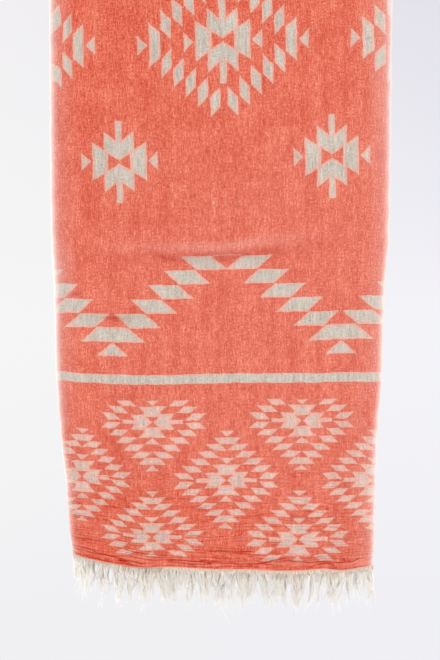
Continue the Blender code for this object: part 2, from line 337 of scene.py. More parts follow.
def clothPoint(side, place, along):   # the cloth's middle surface as it hangs, and the values its weave reads
    x, n, inward, flat = section(side, place, along)
    above = halfLength - abs(along)
    hangs = smoothStep(abs(along), bendLength, bendLength + towel["opensOver"])
    out = towel["spreadAtHem"] * smoothStep(abs(along), bendLength, halfLength)
    for height, across, down, phase in drape["waves"]:
        out += height * hangs * math.sin(across * x + down * along + phase)
    shade = 0.0
    low = 1 - smoothStep(above, 0.0, drape["cornerHeight"])
    drawn = 1 - smoothStep(above, 0.0, drape["drawnHeight"])
    corner = smoothStep(x, drape["cornerFrom"], drape["cornerTo"])
    lift = drape["cornerLift"] * corner * (low + drape["drawnShare"] * (drawn - low))
    if along < 0:
        shown = 1 - inward
        across = bell(x, drape["bulgeSpan"])
        toCrest = above - crestAt(x)
        out += shown * across * drape["bulgeDepth"] * bell(toCrest, drape["bulgeSoft"])
        inFold = across * bell(toCrest + drape["creaseBelow"], drape["creaseSoft"])
        out -= shown * drape["creaseDepth"] * inFold
        out -= drape["cornerTurn"] * low * low * corner
        pressed, shade = creaseAt(x, above)
        out += shown * pressed
        shade = shown * max(shade, drape["creaseDark"] * inFold)
        hem = 1 - smoothStep(above, 0.0, drape["hemHeight"])
        lift += hem * sum(rise * bell(x - drawnX, wide) for drawnX, rise, wide in drape["hemDrawn"])
    fadeIn = smoothStep(abs(x), drape["panelDropFrom"], drape["panelDropTo"])
    lift -= drape["panelDrop"] * inward * hangs * fadeIn
    small = pucker(flat, along) * (0.35 + 0.65 * hangs)
    if abs(along) < bendLength:
        turn = along / bendRadius
        radius = bendRadius + n + small
        spot = (x, radius * math.sin(turn), bendAxisZ + radius * math.cos(turn))
    else:
        front = -1 if along < 0 else 1
        spot = (x, front * (bendRadius + n + out + small), bendAxisZ - (abs(along) - bendLength) + lift)
    lie = {name: smoothRead(askew, name, halfLength + along) for name in askew if name != "at"}
    wovenX = flat - lie["shift"] + lie["spread"] * x
    wovenY = along - lie["turn"] * x + lie["bow"] * x * x + lie["rise"]
    if along < 0:
        for pullX, pullHeight, aside, up, wide, high in pulls:
            felt = shown * bell(x - pullX, wide) * bell(above - pullHeight, high)
            wovenX += felt * aside
            wovenY += felt * up
    return spot, (wovenX, wovenY, shade), flat


def fromHex(code):   # an sRGB hex value as linear colour
    channels = [int(code[i:i + 2], 16) / 255 for i in (0, 2, 4)]
    return [c / 12.92 if c <= 0.04045 else ((c + 0.055) / 1.055) ** 2.4 for c in channels] + [1.0]


def addNode(tree, kind, *values, **named):
    # adds a node: kind may end with its operation or data type, and an operation alone is a Math node's.
    # Values and other nodes go to its live inputs in turn, or to the input that a name says without its
    # spaces. Any other name is one of the node's settings.
    kind, _, mode = ("Math " + kind if kind.isupper() else kind).partition(" ")
    node = tree.nodes.new("ShaderNode" + kind)
    if mode:
        setattr(node, "data_type" if kind == "Mix" else "operation", mode)
    inputNames = [socket.name.replace(" ", "").lower() for socket in node.inputs]
    for name in [name for name in named if name.lower() not in inputNames]:
        setattr(node, name, named.pop(name))
    live = [socket for socket in node.inputs if socket.enabled]
    byName = {socket.name.replace(" ", "").lower(): socket for socket in live[::-1]}
    for key, value in [*enumerate(values), *named.items()]:
        socket = live[key] if isinstance(key, int) else byName[key.lower()]
        if isinstance(value, bpy.types.Node):
            value = next(output for output in value.outputs if output.enabled)
        if isinstance(value, bpy.types.NodeSocket):
            tree.links.new(value, socket)
        else:
            socket.default_value = value
    return node


def emptied(owner):   # empties a material's or the world's node tree, and gives the function that adds to it
    owner.use_nodes = True
    owner.node_tree.nodes.clear()
    return partial(addNode, owner.node_tree)


# The kilim pattern, charted. A cell stands "start" to "end" from its motif's middle, and reaches
# "half" to each side of the motif's axis at its start, growing by "slope". A stair is a row of equal
# slanted cells, each "drop" nearer to the axis than the one before.
bigKilim = {
    "unit": 0.0164, "apart": 0.298,
    "starRow": 0.591, "rowStep": 0.165, "starReach": 0.0592, "from": 0.529,
    "star": [
        dict(start=0.00, end=1.28, half=1.62, slope=0.78),
        dict(start=0.00, end=0.27, half=3.66, slope=0.00),
        dict(start=1.06, end=2.31, half=0.87, slope=0.62),
        dict(start=2.50, end=3.28, half=0.00, slope=0.96),
    ],
    "bowTie": dict(start=0.00, end=0.97, half=0.16, slope=0.64),
    "ring": [
        dict(start=5.31, end=6.20, half=1.00, slope=0.90),
        dict(start=6.40, end=7.21, half=0.00, slope=0.96),
    ],
    "stair": dict(start=0.30, pitch=1.01, wide=0.86, count=5, first=5.20, drop=0.90, slope=1.0, half=0.79),
}
zigzag = {
    "unit": 0.001, "apart": 325.5, "top": 454.0, "spread": 0.0014,
    "cells": [
        dict(start=102.0, end=120.4, half=21.9, slope=1.15),
        dict(start=124.4, end=140.4, half=0.0, slope=1.22),
    ],
    "stair": dict(start=-0.3, pitch=20.4, wide=19.0, count=5, first=130.0, drop=23.7, slope=1.10, half=19.85),
}
bandKilim = {
    "unit": 0.00033, "acrossUnit": 0.000325, "downUnit": 0.000336, "apart": 0.212, "rowStep": 0.0866,
    "middleRow": 0.1320, "from": 0.0140, "to": 0.2490, "pinkTo": 0.2641,
    "cells": [
        dict(start=0.0, end=32.0, half=70.0, slope=0.72),
        dict(start=18.0, end=66.0, half=35.0, slope=0.00),
        dict(start=30.0, end=66.0, half=19.6, slope=1.10),
        dict(start=71.0, end=94.5, half=0.0, slope=1.22),
        dict(start=157.0, end=184.0, half=30.0, slope=0.98),
        dict(start=190.0, end=212.0, half=0.0, slope=1.22),
    ],
    "bowTie": dict(start=0.0, end=24.0, half=5.0, slope=1.08),
    "bar": dict(start=0.0, end=7.5, half=131.0, slope=0.0),
    "barFrom": 68.0,
    "stair": dict(start=5.0, pitch=31.0, wide=27.0, count=5, first=185.0, drop=34.7, slope=1.11, half=28.5),
}
stripe = {"middle": 0.2791, "half": 0.00665, "crisp": 2.0}     # its straight edges mix less than a figure's


def cellField(put, out, off, cell):   # how far inside a cell a spot lies, in the chart's units
    steep = math.hypot(1, cell["slope"])
    edge = put("SUBTRACT", cell["end"], out)
    if cell["start"] > 0:
        edge = put("MINIMUM", edge, put("SUBTRACT", out, cell["start"]))
    atAxis = cell["half"] - cell["slope"] * cell["start"]
    reach = put("MULTIPLY_ADD", out, cell["slope"] / steep, atAxis / steep)
    under = put("MULTIPLY_ADD", off, -1 / steep, reach)
    return put("MINIMUM", edge, under)


def stairField(put, out, off, stair):   # the same for a stair of cells
    steep = math.hypot(1, stair["slope"])
    pitch = stair["pitch"]
    steps = put("MULTIPLY_ADD", out, 1 / pitch, -stair["start"] / pitch)
    whole = put("FLOOR", steps)
    part = put("SUBTRACT", steps, whole)
    near = put("MULTIPLY", part, pitch)
    far = put("MULTIPLY_ADD", part, -pitch, stair["wide"])
    left = put("SUBTRACT", stair["count"], steps)
    onStair = put("MULTIPLY", put("MINIMUM", steps, left), pitch)
    first = stair["first"] - stair["slope"] * stair["wide"] / 2
    centre = put("MULTIPLY_ADD", whole, -stair["drop"], first)
    centre = put("MULTIPLY_ADD", part, stair["slope"] * pitch, centre)
    away = put("ABSOLUTE", put("SUBTRACT", off, centre))
    under = put("MULTIPLY_ADD", away, -1 / steep, stair["half"] / steep)
    return joined(put, "MINIMUM", near, far, onStair, under)


def joined(put, way, *fields):
    return reduce(partial(put, way), fields)


def starField(put, out, off, cells, bowTie):   # cells together, with the bow tie in their middle left open
    field = joined(put, "MAXIMUM", *[cellField(put, out, off, cell) for cell in cells])
    tie = put("MULTIPLY", cellField(put, out, off, bowTie), -1.0)
    return put("MINIMUM", field, tie)


def bigField(put, across, above):   # the large medallions, and the small stars midway between their rows
    unit, halfApart = bigKilim["unit"], bigKilim["apart"] / 2
    near = put("PINGPONG", across, halfApart)
    toStar = put("PINGPONG", put("SUBTRACT", above, bigKilim["starRow"]), bigKilim["rowStep"])
    big = put("GREATER_THAN", toStar, bigKilim["starReach"])
    out = put("Mix", big, put("SUBTRACT", halfApart, near), near)
    off = put("Mix", big, toStar, put("SUBTRACT", bigKilim["rowStep"], toStar))
    out = put("MULTIPLY", out, 1 / unit)
    off = put("MULTIPLY", off, 1 / unit)
    star = starField(put, out, off, bigKilim["star"], bigKilim["bowTie"])
    ring = [cellField(put, out, off, cell) for cell in bigKilim["ring"]]
    ring = joined(put, "MAXIMUM", *ring, stairField(put, out, off, bigKilim["stair"]))
    hidden = put("ADD", big, -1.0)
    ring = put("MULTIPLY_ADD", hidden, 9.0, ring)      # far outside where a small star stands
    both = put("MULTIPLY_ADD", put("MAXIMUM", star, ring), unit, weave["spread"])
    return put("MINIMUM", both, put("SUBTRACT", above, bigKilim["from"]))


def zigzagField(put, across, above):
    unit, half = zigzag["unit"], zigzag["apart"] / 2
    toPeak = put("PINGPONG", put("MULTIPLY", across, 1 / unit), half)
    off = put("SUBTRACT", half, toPeak)
    out = put("MULTIPLY_ADD", above, -1 / unit, zigzag["top"])
    fields = [cellField(put, out, off, cell) for cell in zigzag["cells"]]
    field = joined(put, "MAXIMUM", *fields, stairField(put, out, off, zigzag["stair"]))
    return put("MULTIPLY_ADD", field, unit, zigzag["spread"])


def bandField(put, across, above):   # the small medallions of the border, in staggered rows
    halfApart, rowStep = bandKilim["apart"] / 2, bandKilim["rowStep"]
    toMiddle = put("SUBTRACT", above, bandKilim["middleRow"])
    x = put("PINGPONG", across, halfApart)
    y = put("PINGPONG", toMiddle, rowStep)
    shares = put("MULTIPLY_ADD", y, 1 / rowStep, put("MULTIPLY", x, 1 / halfApart))
    other = put("GREATER_THAN", shares, 1.0)
    off = put("Mix", other, x, put("SUBTRACT", halfApart, x))
    out = put("Mix", other, y, put("SUBTRACT", rowStep, y))
    off = put("MULTIPLY", off, 1 / bandKilim["acrossUnit"])
    out = put("MULTIPLY", out, 1 / bandKilim["downUnit"])
    star = starField(put, out, off, bandKilim["cells"], bandKilim["bowTie"])
    bar = cellField(put, out, off, bandKilim["bar"])
    bar = put("MINIMUM", bar, put("SUBTRACT", off, bandKilim["barFrom"]))
    field = joined(put, "MAXIMUM", star, bar, stairField(put, out, off, bandKilim["stair"]))
    field = put("MULTIPLY_ADD", field, bandKilim["unit"], weave["spread"])
    low = put("SUBTRACT", above, bandKilim["from"])
    high = put("SUBTRACT", bandKilim["to"], above)
    whole = put("MULTIPLY_ADD", put("ABSOLUTE", toMiddle), -1.0, rowStep)
    whole = put("ADD", other, whole)   # no half medallions between the outer rows
    return joined(put, "MINIMUM", field, low, high, whole)


# the yarns' own colours, with the colours of painted shade in creases and of the painted highlight
dyesAndPaintedLight = {name: fromHex(code) for name, code in {
    "coral": "D7654D", "coralLight": "F0957E", "coralDark": "BF432D",
    "naturalLight": "D6CCBF", "naturalDark": "958C7D",
    "bandLight": "E6C8BB", "bandDark": "A88A7D",   # the border's layers cross often, and coral shows through
    "rimLight": "E8AE9C", "rimDark": "D78874",        # where the layers change places both colours mix
    "beside": "A88F7E",                               # undyed yarn shows beside a figure
    # painted shade: the colours that creases and wrinkles are darkened towards, on coral and on natural
    "inCrease": "B01402", "naturalInCrease": "B08672",
    "hemLine": "F2B7A4",                              # the last picks before the coral ends
    "faded": "FBE6DE",                                # the pale colour of the painted highlight along the folds' outer edges, and of the painted sheen
    "sheen": "FFF3EC",
}.items()}
weave = {
    "threads": 0.0016,            # thread spacing, drawn about twice as coarse as the real 0.8 mm
    "edges": [(60.0, 2.0, 0.0035), (625.0, 1.0, 0.0016)],   # noises that a figure's edge follows, and how far
    "toneStart": -1.72, "latticeShare": 0.10,
    "coralTones": (0.10, 0.62), "lightTones": (0.58, 1.20), "naturalTones": (0.35, 1.60),
    "figureEdge": (-0.0005, 0.0003), "coreFrom": 0.0002, "rimWide": 0.0044, "rimUneven": 0.0040,
    "besideMost": 0.19,
    "spread": 0.0004,             # how far past its charted line a figure's yarn swells after washing
    "hemLine": (0.0014, 0.0007, 0.0, 0.8),
    # wrinkles along the hem, painted in as lines of shade, with soft puffs between them painted lighter
    "wrinklesApart": 0.0070, "wrinklesWander": 15.0, "wrinkle": (0.36, 0.04), "wrinkleBreaks": (0.38, 0.62),
    "wrinkledHem": (0.050, 0.014), "wrinkledBorder": (0.250, 0.060, 0.0, 0.70),
    "puffed": (0.5, 1.0, 0.0, 0.30),
    # how much each stands out in the relief
    "toneRelief": 0.35, "latticeRelief": 0.12, "crinkleRelief": 0.8, "puffRelief": 1.4, "figureRelief": 0.35,
    "reliefStrength": 0.6, "reliefDepth": 0.0012,
}
perMetre = 1 / weave["threads"]
# noises of the weave: how often each changes in a metre across and up the cloth, its detail, and its share in
# how light the yarn is
grains = {
    "warp": (1.05 * perMetre, 80.0, 1.0, 1.15),
    "weft": (90.0, 0.80 * perMetre, 1.0, 0.50),
    "fleck": (1.05 * perMetre, 0.62 * perMetre, 1.0, 1.57),
    "patch": (28.0, 28.0, 3.0, 0.50),
    "tension": (66.0, 4.5, 1.0, 0.40),
    "streak": (190.0, 14.0, 2.0, 0.45),
    "floats": (340.0, 26.0, 2.0, 0.0),      # the undyed warp lies on top
    "lie": (9.0, 60.0, 2.0, 0.0),           # the wrinkles wander
    "broken": (17.0, 110.0, 1.0, 0.0),      # and are broken off
    "crinkle": (150.0, 230.0, 2.0, 0.0),
}


def clothMaterial(name, reverse):
    # double-woven cotton, washed: matt, with the soft halo of loose fibre that cotton has at a glancing eye
    material = bpy.data.materials.new(name)
    put = emptied(material)
    woven = put("Attribute", attribute_name="woven")
    flat = put("VectorMath MULTIPLY", woven.outputs["Vector"], (1.0, 1.0, 0.0))
    spot = flat
    for scale, detail, most in weave["edges"]:
        aside = put("TexNoise", vector=spot, scale=scale, detail=detail)
        aside = put("VectorMath SUBTRACT", aside.outputs["Color"], (0.5, 0.5, 0.5))
        aside = put("VectorMath MULTIPLY", aside, (most, most, 0.0))
        spot = put("VectorMath ADD", spot, aside)
    across, up, _ = put("SeparateXYZ", spot).outputs
    above = put("SUBTRACT", halfLength, put("ABSOLUTE", up))
    toStripe = put("ABSOLUTE", put("SUBTRACT", above, stripe["middle"]))
    inStripe = put("MULTIPLY_ADD", toStripe, -stripe["crisp"], stripe["half"] * stripe["crisp"])
    field = joined(put, "MAXIMUM", bigField(put, across, above), zigzagField(put, across, above), inStripe,
                   bandField(put, across, above))

    grain = {}
    tone = weave["toneStart"]
    for kind, (often, oftenUp, detail, share) in grains.items():
        way = put("VectorMath MULTIPLY", flat, (often, oftenUp, 0.0))
        grain[kind] = put("TexNoise", vector=way, scale=1.0, detail=detail)
        if share:
            tone = put("MULTIPLY_ADD", grain[kind], share, tone)
    crossings = []     # a plain weave stands up and sinks in turn where its threads cross
    for axis in put("SeparateXYZ", flat).outputs[:2]:
        crossings.append(put("SINE", put("MULTIPLY", axis, math.pi * perMetre)))
    lattice = put("MULTIPLY", *crossings)
    tone = put("MULTIPLY_ADD", lattice, weave["latticeShare"], tone)

    coral = put("Mix RGBA", put("MapRange", tone, *weave["coralTones"]), dyesAndPaintedLight["coralDark"], dyesAndPaintedLight["coral"])
    coral = put("Mix RGBA", put("MapRange", tone, *weave["lightTones"]), coral, dyesAndPaintedLight["coralLight"])
    floats = put("ADD", grain["floats"], tone)
    light = put("MapRange", floats, *weave["naturalTones"])
    plain, band, rim = [put("Mix RGBA", light, dyesAndPaintedLight[yarn + "Dark"], dyesAndPaintedLight[yarn + "Light"])
                        for yarn in ("natural", "band", "rim")]
    inBorder = put("GREATER_THAN", bandKilim["pinkTo"], above)
    natural = put("Mix RGBA", inBorder, plain, band)

    inFigure = put("MapRange", field, *weave["figureEdge"])
    uneven = put("MULTIPLY_ADD", grain["fleck"], weave["rimUneven"], -weave["rimUneven"] / 2)
    uneven = put("ADD", uneven, field)
    inCore = put("MapRange", uneven, weave["coreFrom"], weave["rimWide"])
    beside = put("MapRange", uneven, -weave["rimWide"], 0.0, 0.0, weave["besideMost"])
    cut = put("Attribute", attribute_name="cut")
    toHem = put("SeparateXYZ", cut.outputs["Vector"]).outputs["Y"]
    toHem = put("MULTIPLY", put("PINGPONG", toHem, 0.5), towel["length"])
    lastPicks = put("MapRange", toHem, *weave["hemLine"])

    rise = put("MULTIPLY", toHem, math.pi / weave["wrinklesApart"])
    rise = put("MULTIPLY_ADD", grain["lie"], weave["wrinklesWander"], rise)
    puff = put("ABSOLUTE", put("SINE", rise))      # soft puffs, and a narrow wrinkle between each two
    wrinkle = put("MULTIPLY", put("MapRange", puff, *weave["wrinkle"]),
                  put("MapRange", grain["broken"], *weave["wrinkleBreaks"]))
    nearHem = put("MAXIMUM", put("MapRange", toHem, *weave["wrinkledHem"]),
                  put("MapRange", toHem, *weave["wrinkledBorder"]))
    wrinkle = put("MULTIPLY", wrinkle, nearHem)
    puff = put("MULTIPLY", puff, nearHem)
    # painted shade: the woven attribute's third value is the creases' shade, and with the wrinkle lines it
    # darkens the colour towards the crease shade colours
    depth = put("SeparateXYZ", woven.outputs["Vector"]).outputs["Z"]
    paintedCreaseShade = put("MAXIMUM", wrinkle, depth)
    # painted light: the puffs between the wrinkles are mixed towards the lighter coral
    coral = put("Mix RGBA", put("MapRange", puff, *weave["puffed"]), coral, dyesAndPaintedLight["coralLight"])
    coral = put("Mix RGBA", paintedCreaseShade, coral, dyesAndPaintedLight["inCrease"])
    rim = put("Mix RGBA", paintedCreaseShade, rim, dyesAndPaintedLight["inCrease"])
    natural = put("Mix RGBA", paintedCreaseShade, natural, dyesAndPaintedLight["naturalInCrease"])

    ground, figure = (natural, coral) if reverse else (coral, natural)
    colour = put("Mix RGBA", beside, ground, dyesAndPaintedLight["beside"])
    # painted light: the fade attribute mixes in a pale colour, as a painted highlight along the side folds'
    # outer edges and the sag's crest, a painted sheen low down and to the right, and painted light and shade
    # beside the folds
    faded = put("Attribute", attribute_name="fade").outputs["Fac"]
    for share, over in [(inFigure, rim), (inCore, figure), (lastPicks, dyesAndPaintedLight["hemLine"]),
                        (faded, dyesAndPaintedLight["faded"])]:
        colour = put("Mix RGBA", share, colour, over)
    height = put("MULTIPLY", tone, weave["toneRelief"])
    reliefs = {"lattice": lattice, "crinkle": grain["crinkle"], "puff": puff, "figure": inFigure}
    for kind, part in reliefs.items():
        height = put("MULTIPLY_ADD", part, weave[kind + "Relief"], height)
    bump = put("Bump", height=height, strength=weave["reliefStrength"], distance=weave["reliefDepth"])
    shader = put("BsdfPrincipled", baseColor=colour, normal=bump, roughness=0.92, specularIORLevel=0.12,
                 sheenWeight=0.14, sheenRoughness=0.4, sheenTint=dyesAndPaintedLight["sheen"])
    put("OutputMaterial", surface=shader)
    return material


yarnLook = {
    # painted shade: each yarn is darker near its root, where the header and the yarns around it shade it
    "root": ("CDB9A2", "FFEDDB"), "clean": ("FFF0DD", "FFFBF0"),      # the darkest and the lightest yarn
    "tip": "FFFCF2", "tipMost": 0.6, "rootTo": (0.03, 0.24),
}


def yarnMaterial():   # undyed cotton ends: off-white, matt, each with its own tone, and light goes into them
    material = bpy.data.materials.new("Undyed cotton yarn")
    put = emptied(material)
    yarn = put("Attribute", attribute_name="yarn")
    tone, along, _ = put("SeparateXYZ", yarn.outputs["Vector"]).outputs
    root, clean = [put("Mix RGBA", tone, *map(fromHex, yarnLook[part])) for part in ("root", "clean")]
    # painted shade near the root, giving way to the yarn's own lighter colour further down
    colour = put("Mix RGBA", put("MapRange", along, *yarnLook["rootTo"]), root, clean)
    tip = put("MULTIPLY", along, yarnLook["tipMost"])
    colour = put("Mix RGBA", tip, colour, fromHex(yarnLook["tip"]))
    shader = put("BsdfPrincipled", baseColor=colour, roughness=0.9, specularIORLevel=0.2,
                 subsurfaceWeight=0.6, subsurfaceRadius=(1.0, 0.9, 0.8), subsurfaceScale=0.002)
    put("OutputMaterial", surface=shader)
    return material


headerLook = {
    "dark": "B09C87", "light": "F5E3D2", "ribs": (430.0, 60.0, 0.0), "ribTones": (0.25, 0.72),
    "shade": (0.0, 0.45, 0.45),   # the coral edge shades the strip's top
    "reliefStrength": 0.7, "reliefDepth": 0.0008,
}


def headerMaterial():   # the narrow plain end of the weave, undyed, with its warp ribs
    material = bpy.data.materials.new("Undyed ribbed cotton")
    put = emptied(material)
    lay = put("Attribute", attribute_name="woven").outputs["Vector"]
    ribs = put("VectorMath MULTIPLY", lay, headerLook["ribs"])
    ribs = put("MapRange", put("TexNoise", vector=ribs, scale=1.0, detail=2.0), *headerLook["ribTones"])
    down = put("SeparateXYZ", lay).outputs["Z"]
    lit = put("MULTIPLY", ribs, put("MapRange", down, *headerLook["shade"]))
    colour = put("Mix RGBA", lit, fromHex(headerLook["dark"]), fromHex(headerLook["light"]))
    bump = put("Bump", height=ribs, strength=headerLook["reliefStrength"], distance=headerLook["reliefDepth"])
    shader = put("BsdfPrincipled", baseColor=colour, normal=bump, roughness=0.92)
    put("OutputMaterial", surface=shader)
    return material


def addObject(name, data):
    added = bpy.data.objects.new(name, data)
    bpy.context.scene.collection.objects.link(added)
    return added


def addPiece(bm, name, *materials):
    mesh = bpy.data.meshes.new(name)
    bm.to_mesh(mesh)
    bm.free()
    for material in materials:
        mesh.materials.append(material)
    mesh.shade_smooth()
    return addObject(name, mesh)


def addThickness(piece, thick):
    solid = piece.modifiers.new("thickness", "SOLIDIFY")
    solid.thickness = thick
    solid.offset = 0.0
    return solid


def applied(piece):   # the piece with its modifiers or its bevel made into its mesh
    bpy.context.view_layer.update()
    mesh = bpy.data.meshes.new_from_object(piece.evaluated_get(bpy.context.evaluated_depsgraph_get()))
    name, materials = piece.name, list(piece.data.materials)
    bpy.data.objects.remove(piece)
    mesh.name = name
    if not len(mesh.materials):
        for material in materials:
            mesh.materials.append(material)
    return addObject(name, mesh)


def readOff(items, name, kind=np.int32, size=1):
    values = np.zeros(len(items) * size, kind)
    items.foreach_get(name, values)
    return values


def giveMap(mesh, places):   # a flat map for baking, from places in 0..1 for each face corner
    layer = mesh.uv_layers.new(name="OFBake", do_init=False)
    layer.uv.foreach_set("vector", np.asarray(places, np.float32).ravel())


cloth = {
    "faceColumns": 50, "foldColumns": 8, "panelColumns": 13, "crownRows": 14,
    # rows of the mesh between heights above each hem, closest where the cloth creases
    "frontRows": [(0.000, 0.034, 62), (0.034, 0.290, 72), (0.290, 0.430, 24), (0.430, 0.500, 26),
                  (0.500, None, 54)],
    "backRows": [(0.000, 0.040, 14), (0.040, 0.290, 30), (0.290, None, 40)],
    "rightShare": 0.86, "mapMargin": 0.002,      # of the baking map, for the side of the cloth that shows
}


def widthPlaces():   # the side and the place of each column of the mesh, from selvedge to selvedge
    half = []
    for start, name in enumerate(("faceColumns", "foldColumns", "panelColumns")):
        half += [start + i / cloth[name] for i in range(1, cloth[name] + 1)]
    return [(-1, p) for p in reversed(half)] + [(1, 0.0)] + [(1, p) for p in half]


def rowsUp(rows):
    found = []
    for low, high, count in rows:
        high = halfLength - bendLength if high is None else high
        found += [halfLength - low - (high - low) * i / count for i in range(count)]
    return found


def lengthPlaces():
    crown = [bendLength * (2 * i / cloth["crownRows"] - 1) for i in range(cloth["crownRows"] + 1)]
    return [-d for d in rowsUp(cloth["frontRows"])] + crown + rowsUp(cloth["backRows"])[::-1]


def layGrid(columns, rows, where):
    # a sheet of faces whose vertices stand where the cloth hangs, with the weave's own values on them
    bm = bmesh.new()
    wovenLayer = bm.verts.layers.float_vector.new("woven")
    cutLayer = bm.verts.layers.float_vector.new("cut")
    # the fade attribute carries the painted light, as a share of a pale colour
    paintedLightLayer = bm.verts.layers.float.new("fade")
    bmesh.ops.create_grid(bm, x_segments=columns, y_segments=rows, size=0.5)
    for vert in bm.verts:
        place = round((vert.co.x + 0.5) * columns), round((vert.co.y + 0.5) * rows)
        vert.co, vert[wovenLayer], vert[cutLayer], vert[paintedLightLayer] = where(*place)
    return bm


def makeCloth(*materials):
    columns, rows = widthPlaces(), lengthPlaces()

    def where(column, row):
        spot, woven, flat = clothPoint(*columns[column], rows[row])
        cut = (flat / towel["width"] + 0.5, rows[row] / towel["length"] + 0.5, 0.0)
        return spot, woven, cut, paintedLightAt(*columns[column], rows[row])

    piece = addPiece(layGrid(len(columns) - 1, len(rows) - 1, where), "towelCloth", *materials)
    addThickness(piece, towel["thickness"]).material_offset = 1
    piece = applied(piece)
    mesh = piece.data
    sides = readOff(mesh.polygons, "material_index")
    behind = np.repeat(sides, readOff(mesh.polygons, "loop_total")) == 1
    cut = readOff(mesh.attributes["cut"].data, "vector", np.float32, 3).reshape(-1, 3)
    places = cut[readOff(mesh.loops, "vertex_index"), :2]
    share, margin = cloth["rightShare"], cloth["mapMargin"]
    places[~behind, 0] = margin + places[~behind, 0] * (share - 2 * margin)
    places[behind, 0] = share + margin + places[behind, 0] * (1 - share - 2 * margin)
    places[:, 1] = margin + places[:, 1] * (1 - 2 * margin)
    giveMap(mesh, places)
    print("cloth:", len(mesh.polygons), "faces")
    return piece


# the plain end of the weave: how far it shows below the front hem, from selvedge to selvedge
header = {
    "at":   [-0.448, -0.260, -0.215, -0.175, -0.090, -0.072, -0.045,
             -0.022, 0.000, 0.030, 0.100, 0.180, 0.235, 0.448],
    "high": [0.0060, 0.0040, 0.0020, 0.0010, 0.0012, 0.0048, 0.0056,
             0.0036, 0.0040, 0.0062, 0.0070, 0.0058, 0.0062, 0.0065],
    "uneven": 0.0006, "unevenLong": 0.012, "ragged": 0.0011, "underHem": 0.0004, "thick": 0.0008,
    "columns": 420, "rows": 3,
}


def hemPoint(flat, front, down):   # a spot that far under the hem, in the cloth's own plane
    side, place = placeOf(flat, front * halfLength)
    spot, _, _ = clothPoint(side, place, front * halfLength)
    return Vector(spot) - Vector((0, 0, down))


def headerHigh(flat, front):
    uneven = header["uneven"] * wander(flat / header["unevenLong"], front, 0)
    return smoothRead(header, "high", flat * -front) + uneven


def makeHeader(name, front, material):
    rng = random.Random(11 + front)
    ragged = [rng.uniform(-1, 1) * header["ragged"] for _ in range(header["columns"] + 1)]

    def where(column, row):
        flat = (column / header["columns"] - 0.5) * (towel["width"] - 0.002)
        share = row / header["rows"]
        down = headerHigh(flat, front) * share - header["underHem"]
        down += ragged[column] if row == header["rows"] else 0
        return hemPoint(flat, front, down), (flat, down, share), (column / header["columns"], share, 0.0), 0.0

    piece = addPiece(layGrid(header["columns"], header["rows"], where), name, material)
    addThickness(piece, header["thick"])
    return piece


fringe = {
    "locks": 84, "lockAside": 0.2, "yarns": 11, "points": 13,
    "radius": 0.00040, "stout": (0.8, 1.6), "thinner": 0.6, "rootStout": 0.5,
    "short": 0.034, "usual": 0.053, "long": 0.074, "longest": 0.082, "longShare": 0.05,
    "yarnShare": (0.60, 1.0), "tipSlack": 0.04,
    # yarns come out of the header side by side and gather in a softly twisted lock
    "rootHigh": (0.35, 0.9), "rootOut": 0.0006, "overlap": 1.1, "fromSelvedge": 0.002,
    "gather": 0.024, "gatherShare": (0.5, 1.6), "thick": 0.0022, "slimmer": 0.25,
    "twist": 60.0, "twistShare": (0.4, 1.0), "lean": 0.07, "leanOut": 0.06,
    "wave": 0.0016, "waveShare": (0.3, 1.2), "waveLength": (0.022, 0.055), "phase": 0.35,
    "flock": 0.55, "flockWide": 0.018,      # neighbouring locks lean together, also those behind them
    # some yarns go their own way, but at the very side they leave the cloth's line only slowly
    "away": 0.05, "stray": 0.15, "strayLean": 0.30, "strayPhase": 0.9, "roam": (0.02, 0.12),
    "ownTone": 0.35,                        # how much of a yarn's tone isn't its lock's
}


